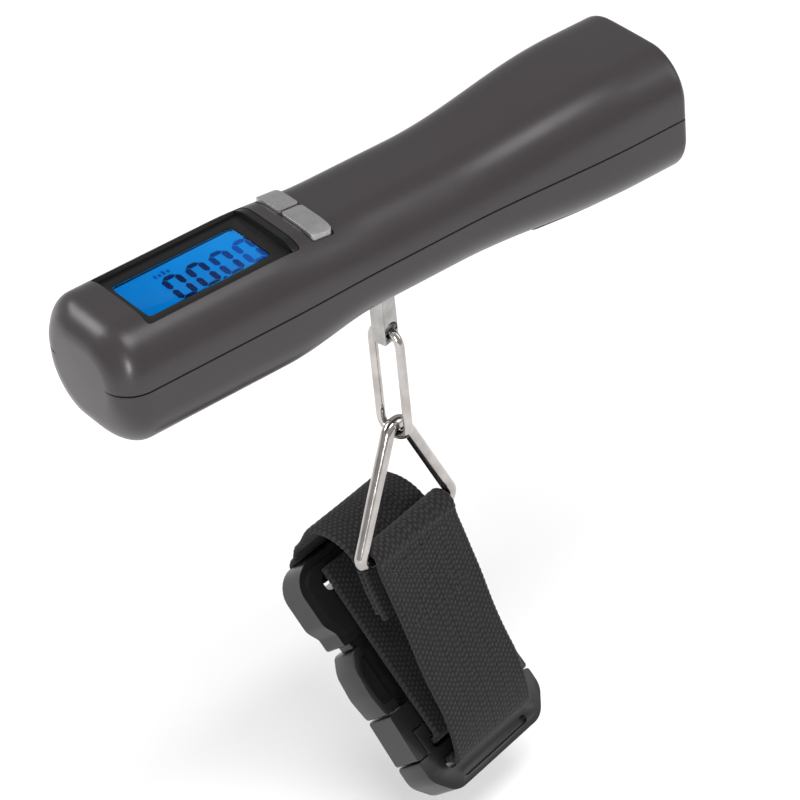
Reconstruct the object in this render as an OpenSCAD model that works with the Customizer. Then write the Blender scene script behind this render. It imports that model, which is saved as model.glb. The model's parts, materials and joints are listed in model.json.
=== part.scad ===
// Hand-held digital luggage scale.
// Frame: x along the handle with the display at -x, -y is the front side, +z is up.
// The origin is on the axis of the suspension post, in the seam plane of the handle.

/* [Handle] */
// Distance from the post to the rounded display end
nose_l = 71; // [66:0.1:86]
// Distance from the post to the flared end
tail_l = 69.5; // [66:0.1:84]
// Width at the display end
nose_w = 30; // [28:0.5:36]
// Width at the waist
waist_w = 29; // [27:0.5:35]
// Width at the flared end
flare_w = 33; // [29:0.5:40]
// Height above the seam at the display end
nose_top = 12; // [11.5:0.25:14.5]
// Height above the seam at the waist
waist_top = 10.8; // [10:0.25:13]
// Height above the seam at the flared end
flare_top = 14.4; // [12:0.25:18]
// Depth below the seam at the display end
nose_drop = 14.5; // [12:0.25:18]
// Depth below the seam at the waist
waist_drop = 12; // [11.5:0.25:15]
// Depth below the seam at the flared end
flare_drop = 14; // [12:0.25:17]
// Wall thickness of both casing shells
wall = 1.8; // [1.4:0.05:2]
// Radius of the two upper edges
top_r = 9.5; // [7:0.5:10]
// Radius of the two lower edges
belly_r = 9; // [7:0.5:10]
// Rounding of the display end
nose_round = 6.5; // [4:0.5:8]
// Rounding of the flared end
tail_round = 1.6; // [1:0.2:3]
// Width of the groove along the seam
seam_groove = 0.35; // [0.2:0.05:0.6]

/* [Display] */
// Length of the recessed bezel
bezel_l = 36; // [34:0.5:40]
// Width of the recessed bezel
bezel_w = 20; // [18:0.5:21]
// Distance from the post to the middle of the bezel
bezel_x = 42.3; // [41:0.1:44]
// Height of the bezel's flat floor above the seam
bezel_z = 10; // [9.6:0.1:10.4]
// Length of the clear window
window_l = 28.8; // [24:0.2:30]
// Width of the clear window
window_w = 13.4; // [11:0.2:15]
// Thickness of the circuit board
board_t = 1.2; // [0.8:0.2:1.6]

/* [Buttons] */
// Length of a button along the handle
button_l = 5.2; // [4:0.2:7]
// Reach of the two buttons to each side of the handle
button_reach = 9.6; // [8:0.2:11]
// Place of the gap between the two buttons, off the middle of the handle
button_split = 1; // [-2:0.5:2]
// Distance from the post to the middle of the buttons
button_x = 18.6; // [17:0.1:18.8]
// How far the buttons stand proud of the casing
button_proud = 0.7; // [0.3:0.1:1]
// Travel of a button
button_travel = 0.5; // [0.3:0.1:0.6]

/* [Load path] */
// Length of the load cell
cell_l = 40; // [36:1:44]
// Width of the load cell
cell_w = 10; // [8:0.5:12]
// Height of the load cell
cell_h = 6; // [5:0.5:7]
// Diameter of the post's round neck
neck_d = 4; // [3:0.1:5]
// Width of the post's flat bar
post_w = 4.4; // [4:0.2:6]
// Thickness of the post's flat bar
post_t = 3.6; // [3:0.2:5]
// Length of the post's flat bar
post_l = 15; // [12:0.5:20]
// Diameter of the eye in the post
eye_d = 3.3; // [3.1:0.1:3.6]
// Turn of the hanging parts about the post at rest
swivel_turn = 12; // [0:1:30]

/* [Link and ring] */
// Wire diameter of the chain link
link_wire = 2; // [1.6:0.1:2.1]
// Outer width of the chain link
link_w = 9.4; // [8.8:0.2:12]
// Outer length of the chain link
link_l = 29.4; // [24:0.5:34]
// Wire diameter of the triangular ring
ring_wire = 3; // [2.5:0.1:3.6]
// Room beside the webbing on the ring's straight base, each side
ring_play = 0.3; // [0.3:0.1:3]
// Height of the ring, on the wire's middle
ring_h = 29.4; // [25:0.2:36]

/* [Sling] */
// Width of the webbing
web_w = 25; // [20:0.5:25]
// Thickness of the webbing
web_t = 1.4; // [1:0.02:1.7]
// Slope of the closed buckle when the sling hangs
buckle_tilt = 50; // [47:0.5:52]
// Length of the closed buckle
buckle_l = 60; // [60:0.5:64]
// Width of the buckle
buckle_w = 38; // [37:0.5:42]
// Thickness of the buckle
buckle_t = 8.6; // [8:0.2:10]

/* [Hidden] */

$fn = 48;
// A hair of overlap that makes two shapes one solid
eps = 0.01;
// Gap round pieces that are placed by hand inside the casing
place_gap = 0.15;
// Radial gap of parts that turn
turn_gap = 0.08;
// Gap that screws have round their shanks
screw_gap = 0.25;

// ---- Handle casing: rounded sections lofted along x ----

corner_steps = 8;
waist_from = -8;
waist_to = 12;
nose_blend = 24;
flare_margin = 12;

function ease(t) = (1 - cos(180 * min(1, max(0, t)))) / 2;
function mix(a, b, t) = a + (b - a) * ease(t);
function along(x, nose, waist, flare) = x < waist_from
    ? mix(nose, waist, (x - waist_from + nose_blend) / nose_blend)
    : mix(waist, flare, (x - waist_to) / (tail_l - flare_margin - waist_to));
function half_w(x) = along(x, nose_w, waist_w, flare_w) / 2;
function top_z(x) = along(x, nose_top, waist_top, flare_top);
function drop_z(x) = along(x, nose_drop, waist_drop, flare_drop);
// How much a rounded end of radius r draws the section in, at distance d from that end
function drawn_in(d, r) = d < r ? r - sqrt(max(0, r * r - (r - d) * (r - d))) : 0;
function pull(x, inset) = inset + max(
    drawn_in(x + nose_l - inset, max(1, nose_round - inset)),
    drawn_in(tail_l - inset - x, max(0.4, tail_round - inset)));

// Quarter turn of radius r about a centre
function corner(cy, cz, r, from) = [for (i = [0 : corner_steps])
    let (a = from + 90 * i / corner_steps) [cy + r * cos(a), cz + r * sin(a)]];
function fit_r(r, inset, w, h) = max(0.4, min(r - max(0, inset), w - 0.1, h - 0.6));
function upper_arc(w, t, r) = concat(corner(w - r, t - r, r, 0), corner(r - w, t - r, r, 90));
function lower_arc(w, d, r) = concat(corner(r - w, r - d, r, 180), corner(w - r, r - d, r, 270));
function upper_at(x, inset) = let (in = pull(x, inset), w = half_w(x) - in, t = top_z(x) - in)
    upper_arc(w, t, fit_r(top_r, inset, w, t));
function lower_at(x, inset) = let (in = pull(x, inset), w = half_w(x) - in, d = drop_z(x) - in)
    lower_arc(w, d, fit_r(belly_r, inset, w, d));
// Outer surface of the belly at a place across the handle
function belly_z(x, y) = let (r = fit_r(belly_r, 0, half_w(x), drop_z(x)), out = abs(y) - half_w(x) + r)
    r - drop_z(x) - sqrt(r * r - pow(max(0, out), 2));

// Stations of the loft, closer together round the display end
nose_steps = 6;
body_steps = 26;
function stations(inset) = let (r = max(1, nose_round - inset), e = max(0.4, tail_round - inset),
        a = inset - nose_l, b = tail_l - inset) concat(
    [for (i = [0 : nose_steps - 1]) a + r * (1 - cos(90 * i / nose_steps))],
    [for (i = [0 : body_steps]) a + r + (b - e - a - r) * i / body_steps],
    [b - e * 0.3, b]);

// Solid through closed sections of the same number of points, given as [x, section]
module skin(rows) {
    n = len(rows[0][1]);
    m = len(rows);
    polyhedron(
        points = [for (row = rows, p = row[1]) [row[0], p[0], p[1]]],
        faces = concat(
            [[for (j = [0 : n - 1]) j]],
            [[for (j = [n - 1 : -1 : 0]) (m - 1) * n + j]],
            [for (i = [0 : m - 2], j = [0 : n - 1]) let (k = (j + 1) % n)
                [i * n + j, (i + 1) * n + j, (i + 1) * n + k]],
            [for (i = [0 : m - 2], j = [0 : n - 1]) let (k = (j + 1) % n)
                [i * n + j, (i + 1) * n + k, i * n + k]]));
}
// Upper and lower halves of the loft, from or up to a height z
module upper_half(inset, z) {
    skin([for (x = stations(inset)) let (a = upper_at(x, inset), w = a[0][0])
        [x, concat([[w, z]], a, [[-w, z]])]]);
}
module lower_half(inset, z) {
    skin([for (x = stations(inset)) let (a = lower_at(x, inset), w = -a[0][0])
        [x, concat([[-w, z]], a, [[w, z]])]]);
}
// Upper half with a step along the seam, which shows as a groove
groove_d = 0.7;
module grooved_half() {
    skin([for (x = stations(0)) let (a = upper_at(x, 0), w = a[0][0], g = seam_groove)
        [x, concat([[w - groove_d, 0], [w - groove_d, g], [w, g]], a,
            [[-w, g], [groove_d - w, g], [groove_d - w, 0]])]]);
}
// Both halves between two places along the handle
module whole_between(inset, from, to) {
    steps = 4;
    skin([for (i = [0 : steps]) let (x = from + (to - from) * i / steps)
        [x, concat(upper_at(x, inset), lower_at(x, inset))]]);
}

// Places inside the handle
bezel_mid = -bezel_x;
button_mid = -button_x;
floor_z = -waist_drop + wall;
bezel_t = 1.2;
window_t = 1;
window_z = bezel_z - window_t;
lcd_t = 1.6;
lcd_z = window_z - lcd_t - 0.2;
light_t = 1;
light_z = lcd_z - light_t;
board_z = light_z - board_t - 0.4;
switch_h = 1.6;
button_floor = board_z + board_t + switch_h + button_travel + place_gap;
flange_t = 0.6;
flange_x = 0.6;
flange_reach = 7.2;

// Battery door in the belly of the flared half
door_x = 46.5;
door_l = 29;
door_w = 22;
door_gap = 0.2;
door_proud = 0.25;
door_top = -drop_z(door_x - door_l / 2) + wall;

// Screws that close the casing
screw_r = 1.3;
screw_head_r = 2.2;
boss_r = 2.9;
pillar_r = 2.4;
boss_top = -3.2;
screw_spots = [[-nose_l + 7, 0], [-10.5, 6.5], [-10.5, -6.5], [13, 8.7], [13, -8.7], [tail_l - 5.2, 0]];
function boss_low(p) = belly_z(p[0], abs(p[1]) + boss_r) + 0.4;
function screw_sink(p) = belly_z(p[0], p[1]) + 3.2;
screw_bite = 6;

module upper_shell() {
    color([0.27, 0.25, 0.25]) difference() {
        union() {
            difference() {
                grooved_half();
                upper_half(wall, -1);
            }
            for (p = screw_spots) difference() {
                translate([p[0], p[1], boss_top + 0.2])
                    cylinder(r = pillar_r, h = top_z(p[0]) - wall / 2 - boss_top - 0.2 - abs(p[1]) / 5);
                translate([p[0], p[1], boss_top - 1]) cylinder(r = screw_r, h = screw_bite + 2);
            }
        }
        translate([bezel_mid - bezel_l / 2, -bezel_w / 2, 4]) cube([bezel_l, bezel_w, 20]);
        translate([button_mid - button_l / 2 - place_gap, -button_reach - place_gap, 4])
            cube([button_l + 2 * place_gap, 2 * (button_reach + place_gap), 20]);
    }
}

module lower_shell() {
    color([0.25, 0.23, 0.23]) difference() {
        union() {
            difference() {
                lower_half(0, 0);
                lower_half(wall, 1);
            }
            for (p = screw_spots) translate([p[0], p[1], boss_low(p)])
                cylinder(r = boss_r, h = boss_top - boss_low(p));
        }
        for (p = screw_spots) {
            translate([p[0], p[1], -60]) cylinder(r = screw_r + screw_gap, h = 80);
            translate([p[0], p[1], -60]) cylinder(r = screw_head_r + screw_gap, h = 60 + screw_sink(p));
        }
        translate([0, 0, -40]) cylinder(r = collar_r + place_gap, h = 60);
        translate([door_x - door_l / 2 - door_gap, -door_w / 2 - door_gap, -40])
            cube([door_l + 2 * door_gap, door_w + 2 * door_gap, 38]);
    }
}

module display_bezel() {
    color([0.04, 0.04, 0.045]) difference() {
        intersection() {
            translate([bezel_mid - bezel_l / 2 + place_gap, -bezel_w / 2 + place_gap, bezel_z - bezel_t])
                cube([bezel_l - 2 * place_gap, bezel_w - 2 * place_gap, 8]);
            whole_between(0.1, bezel_mid - bezel_l / 2 - 1, bezel_mid + bezel_l / 2 + 1);
        }
        translate([bezel_mid - bezel_l / 2 - 1, -bezel_w / 2 - 1, bezel_z])
            cube([bezel_l + 1 - bezel_end, bezel_w + 2, 10]);
        translate([bezel_mid + window_off - window_l / 2, -window_w / 2, 0]) cube([window_l, window_w, 20]);
    }
}
bezel_end = 1.6;
window_off = -1.2;

module display_window() {
    color([0.35, 0.6, 0.85, 0.4])
        translate([bezel_mid + window_off - window_l / 2 + place_gap, -window_w / 2 + place_gap, window_z])
            cube([window_l - 2 * place_gap, window_w - 2 * place_gap, window_t]);
}
lcd_margin = 1.2;
module lcd_slab(z, t, grow) {
    translate([bezel_mid + window_off - window_l / 2 - grow, -window_w / 2 - grow, z])
        cube([window_l + 2 * grow, window_w + 2 * grow, t]);
}
module lcd_panel() { color([0.05, 0.45, 0.85]) lcd_slab(lcd_z, lcd_t, lcd_margin); }
module backlight() { color("white") lcd_slab(light_z, light_t - eps, lcd_margin); }

board_from = bezel_mid - bezel_l / 2 + 2;
board_to = -11;
board_w = 21;
module circuit_board() {
    color([0.05, 0.35, 0.15]) difference() {
        translate([board_from, -board_w / 2, board_z]) cube([board_to - board_from, board_w, board_t]);
        for (p = screw_spots) translate([p[0], p[1], board_z - 1])
            cylinder(r = pillar_r + 0.3, h = board_t + 2);
        for (s = [-1, 1]) translate([board_from + 3, s * (board_w / 2 - 3), board_z - 1])
            cylinder(r = 1, h = board_t + 2);
    }
}

switch_w = 4.5;
function button_y(side) = button_split / 2 + side * button_reach / 2;
module tact_switches() {
    color([0.6, 0.6, 0.62]) for (side = [-1, 1]) translate([button_mid, button_y(side), board_z + board_t]) {
        translate([-switch_w / 2, -switch_w / 2, 0]) cube([switch_w, switch_w, switch_h - 0.4]);
        cylinder(d = 2.2, h = switch_h);
    }
}

button_gap = 0.4;
module button(side) {
    from = side < 0 ? -button_reach : button_split + button_gap / 2;
    to = side < 0 ? button_split - button_gap / 2 : button_reach;
    color([0.78, 0.78, 0.8]) union() {
        intersection() {
            translate([button_mid - button_l / 2, from, button_floor]) cube([button_l, to - from, 20]);
            whole_between(-button_proud, button_mid - 6, button_mid + 6);
        }
        translate([button_mid - button_l / 2 - flange_x, max(from, -flange_reach), button_floor])
            cube([button_l + 2 * flange_x, min(to, flange_reach) - max(from, -flange_reach), flange_t]);
    }
}
module unit_button() { button(-1); }
module zero_button() { button(1); }

// ---- Load path inside the handle ----

cell_z = -3.5;
cell_from = -7;
cell_hole_r = neck_d / 2 + screw_gap;
anchor_l = 15;
anchor_w = 13;
cell_bolt_r = 1.5;
cell_bolts = [cell_from + cell_l - 11, cell_from + cell_l - 4];
cell_top = cell_z + cell_h;
eye_spread = 7;
cell_eye_r = 1.9;
cell_eye_x = cell_from + cell_l / 2 - 2;

module load_cell() {
    color([0.8, 0.81, 0.82]) difference() {
        translate([cell_from, -cell_w / 2, cell_z]) cube([cell_l, cell_w, cell_h]);
        translate([0, 0, cell_z - 1]) cylinder(r = cell_hole_r, h = cell_h + 2);
        for (x = cell_bolts) translate([x, 0, cell_z - 1])
            cylinder(r = cell_bolt_r + screw_gap, h = cell_h + 2);
        for (s = [0, 1]) translate([cell_eye_x - eye_spread / 2 + s * eye_spread, -cell_w, cell_z + cell_h / 2])
            rotate([-90, 0, 0]) cylinder(r = cell_eye_r, h = 2 * cell_w);
        translate([cell_eye_x - eye_spread / 2, -cell_w, cell_z + cell_h / 2 - 0.6])
            cube([eye_spread, 2 * cell_w, 1.2]);
    }
}
module strain_gauges() {
    color([0.75, 0.45, 0.15]) for (s = [0, 1]) {
        translate([cell_eye_x - eye_spread / 2 + s * eye_spread - 1.8, -1.5, cell_top])
            cube([3.6, 3, 0.3]);
        translate([cell_eye_x - eye_spread / 2 + s * eye_spread - 1.8, -1.5, cell_z - 0.3])
            cube([3.6, 3, 0.3]);
    }
}
module cell_anchor() {
    color([0.3, 0.3, 0.32]) difference() {
        translate([cell_from + cell_l - anchor_l, -anchor_w / 2, floor_z + 0.1])
            cube([anchor_l, anchor_w, cell_z - floor_z - 0.1]);
        for (x = cell_bolts) translate([x, 0, floor_z - 1]) cylinder(r = cell_bolt_r, h = 20);
    }
}
module cell_screws() {
    color([0.7, 0.7, 0.72]) for (x = cell_bolts) {
        translate([x, 0, floor_z + 0.8]) cylinder(r = cell_bolt_r - 0.02, h = cell_top - floor_z - 0.8 + eps);
        translate([x, 0, cell_top]) difference() {
            cylinder(r = 2.7, h = 1.8);
            translate([0, 0, 0.8]) cylinder(r = 1.2, h = 2, $fn = 6);
        }
    }
}

collar_r = 4.6;
collar_drop = 1.6;
collar_top = floor_z + 1.2;
collar_low = -waist_drop - collar_drop;
post_top = collar_low - 0.3;
washer_t = 0.8;
nut_h = 3.2;
nut_seat = cell_top + washer_t + 0.1;
neck_top = nut_seat + nut_h + 0.6;
post_low = post_top - post_l;
eye_z = post_low + 2.9;

module post_collar() {
    color([0.12, 0.12, 0.12]) difference() {
        union() {
            translate([0, 0, collar_low + 0.8]) cylinder(r = collar_r, h = collar_top - collar_low - 0.8);
            translate([0, 0, collar_low]) cylinder(r1 = collar_r - 0.8, r2 = collar_r, h = 0.8 + eps);
        }
        translate([0, 0, collar_low - 1]) cylinder(r = neck_d / 2 + turn_gap, h = 20);
    }
}
module post_washer() {
    color([0.8, 0.8, 0.82]) translate([0, 0, cell_top]) difference() {
        cylinder(r = 4.2, h = washer_t);
        translate([0, 0, -1]) cylinder(r = neck_d / 2 + turn_gap, h = washer_t + 2);
    }
}
module hung() { rotate([0, 0, swivel_turn]) children(); }

module suspension_post() {
    color([0.8, 0.8, 0.8]) hung() difference() {
        union() {
            translate([0, 0, post_top - 0.5]) cylinder(d = neck_d, h = neck_top - post_top + 0.5);
            intersection() {
                translate([-post_w / 2, -post_t / 2, post_low]) cube([post_w, post_t, post_l]);
                translate([0, 0, post_low]) union() {
                    cylinder(r1 = post_w / 2 + 0.1, r2 = post_w / 2 + 1.1, h = 1);
                    translate([0, 0, 1 - eps]) cylinder(r = post_w / 2 + 1.1, h = post_l);
                }
            }
        }
        translate([0, post_t, eye_z]) rotate([90, 0, 0]) cylinder(d = eye_d, h = 2 * post_t);
    }
}
module post_nut() {
    color([0.7, 0.7, 0.72]) hung() translate([0, 0, nut_seat]) difference() {
        cylinder(r = 4, h = nut_h, $fn = 6);
        translate([0, 0, -1]) cylinder(r = neck_d / 2 + 0.02, h = nut_h + 2);
    }
}

// ---- Link and ring: bent wire ----

// Wire bent round a point in the xz plane, from one angle over a sweep
module bent(cx, cz, bend, from, sweep, wire) {
    translate([cx, 0, cz]) rotate([90, 0, 0]) rotate([0, 0, from])
        rotate_extrude(angle = sweep) translate([bend, 0]) circle(d = wire);
}
// Straight wire between two points of the xz plane
module straight(p, q, wire) {
    d = q - p;
    translate([p[0], 0, p[1]]) rotate([0, atan2(d[0], d[1]), 0]) cylinder(d = wire, h = norm(d));
}

link_bend = (link_w - link_wire) / 2;
link_top = eye_z;
link_low = eye_z - (link_l - link_wire);

module chain_link() {
    color([0.85, 0.85, 0.86]) hung() rotate([0, 0, 90]) {
        bent(0, link_top - link_bend, link_bend, 0, 180, link_wire);
        bent(0, link_low + link_bend, link_bend, 180, 180, link_wire);
        for (s = [-1, 1])
            straight([s * link_bend, link_low + link_bend], [s * link_bend, link_top - link_bend], link_wire);
    }
}

ring_gap = 0.2;
apex_bend = 3;
base_bend = ring_wire / 2 + 0.4;
base_mid = web_w / 2 + ring_play;
apex_mid = ring_h - apex_bend;
// Slope of the ring's two sides, from a line that touches both of its bends
half_apex = atan2(base_mid, apex_mid - base_bend)
    + asin((base_bend - apex_bend) / norm([base_mid, apex_mid - base_bend]));
ring_top = link_low + (link_wire + ring_wire) / 2 + ring_gap;
ring_base = ring_top - ring_h;

function arc_xz(cx, cz, r, from, to, steps) = [for (i = [0 : steps])
    let (a = from + (to - from) * i / steps) [cx + r * cos(a), 0, cz + r * sin(a)]];
module triangle_ring() {
    color([0.86, 0.86, 0.87]) hung() translate([0, 0, ring_base]) tube(concat(
        arc_xz(base_mid, base_bend, base_bend, -90, half_apex, 8),
        arc_xz(0, apex_mid, apex_bend, half_apex, 180 - half_apex, 10),
        arc_xz(-base_mid, base_bend, base_bend, 180 - half_apex, 270, 8)), ring_wire, 16, [0, 1, 0], true);
}

// ---- Battery compartment ----

battery_r = 10;
battery_h = 3.2;
battery_z = door_top + 0.1;
tray_l = 25;
tray_w = 21.8;
tray_z = door_top + 1.9;
tray_h = 4.6;
cell_play = 0.3;
spring_w = 4;
clip_w = 6;
clip_t = 1.2;
clip_x = door_x + battery_r + cell_play + 0.1;
module battery_door() {
    color([0.25, 0.23, 0.23]) intersection() {
        translate([door_x - door_l / 2, -door_w / 2, -40]) cube([door_l, door_w, 40 + door_top]);
        whole_between(-door_proud, door_x - door_l, door_x + door_l / 2 + 4);
    }
}
module battery_tray() {
    color([0.1, 0.1, 0.11]) difference() {
        translate([door_x - tray_l / 2, -tray_w / 2, tray_z]) cube([tray_l, tray_w, tray_h]);
        translate([door_x, 0, door_top])
            cylinder(r = battery_r + cell_play, h = tray_z - door_top + tray_h - 1.1);
        translate([door_x - spring_w, -9, door_top]) cube([2 * spring_w, 18, 12]);
        translate([clip_x - cell_play, -clip_w / 2 - 0.2, door_top])
            cube([clip_t + 2 * cell_play, clip_w + 0.4, 12]);
    }
}
module coin_battery() {
    color([0.75, 0.76, 0.78]) translate([door_x, 0, battery_z]) {
        cylinder(r = battery_r, h = battery_h - 0.5);
        cylinder(r = battery_r - 1.2, h = battery_h);
    }
}
module battery_spring() {
    color([0.8, 0.7, 0.35]) translate([door_x - spring_w / 2, -8, battery_z + battery_h + 0.05]) {
        cube([spring_w, 16, 0.3]);
        translate([0, 6, 0]) cube([spring_w, 4, 1.6]);
    }
}
module battery_clip() {
    color([0.8, 0.8, 0.82]) translate([clip_x, -clip_w / 2, battery_z]) cube([clip_t, clip_w, 4.2]);
}

module case_screws() {
    color([0.2, 0.2, 0.2]) for (p = screw_spots) translate([p[0], p[1], screw_sink(p)]) {
        translate([0, 0, -eps]) cylinder(r = screw_r - 0.02, h = boss_top + screw_bite - screw_sink(p));
        translate([0, 0, -1.6]) difference() {
            cylinder(r = screw_head_r, h = 1.6);
            translate([-0.4, -1.5, -eps]) cube([0.8, 3, 0.7]);
            translate([-1.5, -0.4, -eps]) cube([3, 0.8, 0.7]);
        }
    }
}

// Round tube along a path of points: open with flat ends, or closed into a loop
function path_heading(path, i, closed) = let (n = len(path),
        a = path[closed ? (i + n - 1) % n : max(0, i - 1)],
        b = path[closed ? (i + 1) % n : min(n - 1, i + 1)], d = b - a) d / norm(d);
function tube_ring(c, h, up, r, sides) = let (u = cross(h, up) / norm(cross(h, up)), v = cross(u, h))
    [for (j = [0 : sides - 1]) c + r * (cos(360 * j / sides) * u + sin(360 * j / sides) * v)];
module tube(path, d, sides, up, closed = false) {
    n = len(path);
    rows = closed ? n : n - 1;
    polyhedron(
        points = [for (i = [0 : n - 1])
            for (p = tube_ring(path[i], path_heading(path, i, closed), up, d / 2, sides)) p],
        faces = concat(
            closed ? [] : [[for (j = [0 : sides - 1]) j],
                [for (j = [sides - 1 : -1 : 0]) (n - 1) * sides + j]],
            [for (i = [0 : rows - 1], j = [0 : sides - 1])
                let (k = (j + 1) % sides, a = i * sides, b = ((i + 1) % n) * sides) [a + j, b + j, b + k]],
            [for (i = [0 : rows - 1], j = [0 : sides - 1])
                let (k = (j + 1) % sides, a = i * sides, b = ((i + 1) % n) * sides) [a + j, b + k, a + k]]));
}

wire_d = 1.1;
lead_y = 11.9;
lead_z = 1;
module wiring() {
    color([0.7, 0.1, 0.1]) for (s = [-1, 1]) {
        tube([[board_to - 1, s * 9.7, board_z - 0.7], [board_to + 1, s * 10.6, board_z - 1],
            [board_to + 4, s * lead_y, lead_z + 1], [board_to + 8, s * lead_y, lead_z],
            [door_x - 20, s * lead_y, lead_z], [door_x - 15, s * 8.5, -1],
            [door_x - 13.3, s * 6, -2.5]], wire_d, 8, [0, 0, 1]);
        tube([[board_to - 2, s * 1.4, board_z - 0.7], [board_to + 1, s * 2, board_z - 0.8],
            [board_to + 5, s * 5.3, cell_top + 2], [cell_eye_x - eye_spread / 2 - 5, s * 5.3, cell_top + 1],
            [cell_eye_x - eye_spread / 2 - 1, s * 2.4, cell_top + 0.7]], wire_d, 8, [0, 0, 1]);
    }
}

// ---- Sling: webbing and side-release buckle, hanging from the ring's base ----

// Place of the buckle's lower edge below the ring's base
buckle_y = -18;
buckle_z = -56;
// A point of the buckle (v along it, w off its middle plane) in the sling's side view
function on_buckle(v, w) = [
    buckle_y + v * cos(buckle_tilt) - w * sin(buckle_tilt),
    buckle_z + v * sin(buckle_tilt) + w * cos(buckle_tilt)];
module sling() { hung() translate([0, 0, ring_base]) children(); }
module on_sling_buckle() {
    sling() translate([0, buckle_y, buckle_z]) rotate([buckle_tilt, 0, 0]) children();
}

// A band of webbing that follows a path in the side view
function heading(path, i) = let (
        a = path[max(0, i - 1)], b = path[min(len(path) - 1, i + 1)], d = b - a) d / norm(d);
function beside(path, off) = [for (i = [0 : len(path) - 1])
    let (h = heading(path, i)) path[i] + off * [-h[1], h[0]]];
function reversed(list) = [for (i = [len(list) - 1 : -1 : 0]) list[i]];
module band(path, width) {
    rotate([90, 0, 90]) translate([0, 0, -width / 2]) linear_extrude(width)
        polygon(concat(beside(path, web_t / 2), reversed(beside(path, -web_t / 2))));
}
function turned(c, r, from, to, steps) = [for (i = [0 : steps])
    let (a = from + (to - from) * i / steps) c + r * [cos(a), sin(a)]];

sewn_l = 15;
loop_gap = 0.45;
loop_r = ring_wire / 2 + loop_gap + web_t / 2;
half_t = buckle_t / 2;
slot_a = [4.8, 7.9];
slot_b = [10.4, 13.5];
bar_mid = (slot_a[1] + slot_b[0]) / 2;
slot_a_mid = (slot_a[0] + slot_a[1]) / 2;
slot_b_mid = (slot_b[0] + slot_b[1]) / 2;
tail_w = half_t + 0.9 + web_t / 2;
tail_to = buckle_l - 3;

sling_path = concat(
    [[-2.6, -sewn_l], [0.4, -8]],
    turned([0, 0], loop_r, -15, 195, 14),
    [[-5.6, -10], [-9.6, -18], [-14, -27], [-17.4, -35], [-19.3, -41]],
    [on_buckle(slot_a_mid - 0.6, half_t + 3), on_buckle(slot_a_mid, half_t), on_buckle(slot_a_mid, -0.6)],
    turned(on_buckle(bar_mid, -half_t + 2), (slot_b_mid - slot_a_mid) / 2, 180 + buckle_tilt,
        360 + buckle_tilt, 8),
    [on_buckle(slot_b_mid, -0.6), on_buckle(slot_b_mid, half_t - 1),
        on_buckle(slot_b_mid + 0.9, tail_w - 0.6), on_buckle(slot_b_mid + 2.4, tail_w)],
    [on_buckle(tail_to, tail_w)]);
module sling_webbing() { color([0.09, 0.09, 0.09]) sling() band(sling_path, web_w); }

end_slot = [buckle_l - 8, buckle_l - 4.6];
end_wrap = (buckle_l - end_slot[1]) / 2 + 0.25 + web_t / 2;
end_relief = 1.6;
rear_path = concat(
    [[web_t - 2, -sewn_l + 0.5], [web_t + 0.8, -8.5], [web_t + 2.9, -2.6], [web_t + 5.2, -0.2],
        [10, 1.2], [13.6, 1.3], [17.2, 0.1]],
    [on_buckle(buckle_l + 3.8, 3.8), on_buckle(buckle_l + 3.1, 1), on_buckle(buckle_l + 1.9, -0.8)],
    turned(on_buckle((end_slot[1] + buckle_l) / 2, end_relief + 0.5 - half_t), end_wrap,
        buckle_tilt, buckle_tilt - 180, 10),
    [on_buckle((end_slot[1] + buckle_l) / 2 - end_wrap, half_t - 1.6)]);
module rear_webbing() { color([0.09, 0.09, 0.09]) sling() band(rear_path, web_w - 0.6); }

// Plan outlines of the buckle, x across and y along it
half_b = buckle_w / 2;
window_from = 22.5;
window_to = 40.4;
mouth_v = 17;
cheek_v = 10.8;
cheek_in = half_b - 3.2;
lobe_in = half_b - 3;
pad_l = 16;
hook_u = half_b - 3.8;
cavity_t = 5;
arm_t = cavity_t - 0.5;

module rounded_box(x0, x1, y0, y1, t, r) {
    translate([0, 0, -t / 2]) linear_extrude(t) hull() {
        for (x = [x0 + r, x1 - r], y = [y0 + r, y1 - r]) translate([x, y]) circle(r = r);
    }
}
module box_at(x0, x1, y0, y1, t) { translate([x0, y0, -t / 2]) cube([x1 - x0, y1 - y0, t]); }

module buckle_frame() {
    color([0.1, 0.1, 0.1]) on_sling_buckle() difference() {
        union() {
            box_at(-half_b, half_b, 2.6, cheek_v - 0.3, buckle_t);
            for (s = [-1, 1]) translate([s * (half_b - 2.6), 2.6, 0])
                cylinder(r = 2.6, h = buckle_t, center = true);
            box_at(-half_b + 2.6, half_b - 2.6, 0, 3, buckle_t);
            box_at(-cheek_in + 0.3, cheek_in - 0.3, cheek_v - 0.4, mouth_v - 0.4, buckle_t);
            box_at(-1.8, 1.8, mouth_v - 1, window_from + 8, arm_t - 0.6);
        }
        box_at(-web_w / 2 - 0.8, web_w / 2 + 0.8, slot_a[0], slot_a[1], 20);
        box_at(-web_w / 2 - 0.8, web_w / 2 + 0.8, slot_b[0], slot_b[1], 20);
        translate([0, 0, -half_t - eps]) box_at(-web_w / 2 - 0.8, web_w / 2 + 0.8, slot_a[1] - 0.1,
            slot_b[0] + 0.1, 2 * (2.2));
    }
}

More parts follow.
